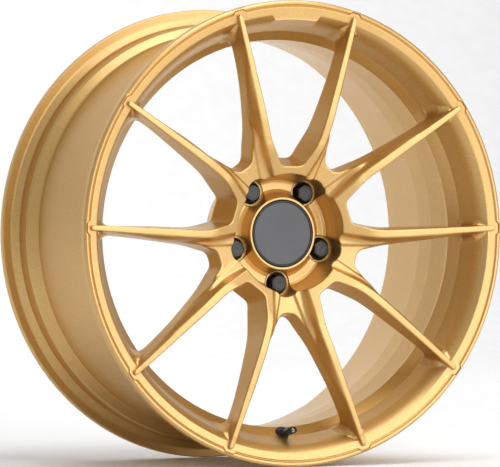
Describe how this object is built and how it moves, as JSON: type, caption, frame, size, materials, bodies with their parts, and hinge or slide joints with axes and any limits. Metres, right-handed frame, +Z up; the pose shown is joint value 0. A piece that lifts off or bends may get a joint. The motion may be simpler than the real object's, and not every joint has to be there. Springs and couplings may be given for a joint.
{
  "type": "wheel rim",
  "caption": "Forged racing wheel with paired slim spokes in V shapes, lug bolts, centre cap and tyre valve; the bolts unscrew and the cap pulls off.",
  "frame": {"origin": "on the wheel's axis, midway between the two rim flanges", "axes": "+Y along the wheel's axis, from the outer face towards the car; +Z straight up through a V of spokes; +X to the right seen from the outer face"},
  "size_m": [0.5176, 0.2386, 0.5176],
  "materials": {
    "gold_paint": "painted satin metallic gold under clear coat",
    "black_steel": "black zinc flake, satin",
    "black_plastic": "gloss",
    "grey_disc": "satin dark grey",
    "bright_steel": "bright",
    "rubber": "matt",
    "brass": "satin"
  },
  "bodies": {
    "wheel": {"rim_barrel": "gold_paint", "hub_centre": "gold_paint", "spoke_1_left": "gold_paint", "spoke_1_right": "gold_paint", "spoke_2_left": "gold_paint", "spoke_2_right": "gold_paint", "spoke_3_left": "gold_paint", "spoke_3_right": "gold_paint", "spoke_4_left": "gold_paint", "spoke_4_right": "gold_paint", "spoke_5_left": "gold_paint", "spoke_5_right": "gold_paint", "hub_ring": "black_plastic", "valve_stem": "black_steel", "valve_grommet": "rubber", "valve_washer": "black_steel", "valve_nut": "black_steel", "valve_core": "brass"},
    "cap": {"centre_cap": "black_plastic", "cap_disc": "grey_disc", "cap_wire": "bright_steel"},
    "collar_1": {"bolt_collar_1": "black_steel"},
    "bolt_1": {"lug_bolt_1": "black_steel"},
    "collar_2": {"bolt_collar_2": "black_steel"},
    "bolt_2": {"lug_bolt_2": "black_steel"},
    "collar_3": {"bolt_collar_3": "black_steel"},
    "bolt_3": {"lug_bolt_3": "black_steel"},
    "collar_4": {"bolt_collar_4": "black_steel"},
    "bolt_4": {"lug_bolt_4": "black_steel"},
    "collar_5": {"bolt_collar_5": "black_steel"},
    "bolt_5": {"lug_bolt_5": "black_steel"},
    "core_pin": {"valve_pin": "bright_steel", "valve_seal": "rubber"}
  },
  "joints": [
    {"name": "cap_pull", "type": "slide", "parent": "wheel", "child": "cap", "axis": [0, -1, 0], "range_m": [0, 0.03]},
    {"name": "bolt_1_travel", "type": "slide", "parent": "wheel", "child": "collar_1", "axis": [0, -1, 0], "range_m": [0, 0.012]},
    {"name": "bolt_1_turn", "type": "hinge", "parent": "collar_1", "child": "bolt_1", "pos_m": [0.03292, -0.06, 0.0453], "axis": [0, -1, 0], "range_deg": [0, 2890]},
    {"name": "bolt_2_travel", "type": "slide", "parent": "wheel", "child": "collar_2", "axis": [0, -1, 0], "range_m": [0, 0.012]},
    {"name": "bolt_2_turn", "type": "hinge", "parent": "collar_2", "child": "bolt_2", "pos_m": [0.05326, -0.06, -0.01731], "axis": [0, -1, 0], "range_deg": [0, 2890]},
    {"name": "bolt_3_travel", "type": "slide", "parent": "wheel", "child": "collar_3", "axis": [0, -1, 0], "range_m": [0, 0.012]},
    {"name": "bolt_3_turn", "type": "hinge", "parent": "collar_3", "child": "bolt_3", "pos_m": [0, -0.06, -0.056], "axis": [0, -1, 0], "range_deg": [0, 2890]},
    {"name": "bolt_4_travel", "type": "slide", "parent": "wheel", "child": "collar_4", "axis": [0, -1, 0], "range_m": [0, 0.012]},
    {"name": "bolt_4_turn", "type": "hinge", "parent": "collar_4", "child": "bolt_4", "pos_m": [-0.05326, -0.06, -0.01731], "axis": [0, -1, 0], "range_deg": [0, 2890]},
    {"name": "bolt_5_travel", "type": "slide", "parent": "wheel", "child": "collar_5", "axis": [0, -1, 0], "range_m": [0, 0.012]},
    {"name": "bolt_5_turn", "type": "hinge", "parent": "collar_5", "child": "bolt_5", "pos_m": [-0.03292, -0.06, 0.0453], "axis": [0, -1, 0], "range_deg": [0, 2890]},
    {"name": "valve_pin_press", "type": "slide", "parent": "wheel", "child": "core_pin", "axis": [0, 0.9848, -0.1736], "range_m": [0, 0.0012], "stiffness_N_per_m": 1000}
  ],
  "couplings": [
    {"joint": "bolt_1_turn", "follows": "bolt_1_travel", "rad_per_m": 4188.8},
    {"joint": "bolt_2_turn", "follows": "bolt_2_travel", "rad_per_m": 4188.8},
    {"joint": "bolt_3_turn", "follows": "bolt_3_travel", "rad_per_m": 4188.8},
    {"joint": "bolt_4_turn", "follows": "bolt_4_travel", "rad_per_m": 4188.8},
    {"joint": "bolt_5_turn", "follows": "bolt_5_travel", "rad_per_m": 4188.8}
  ]
}
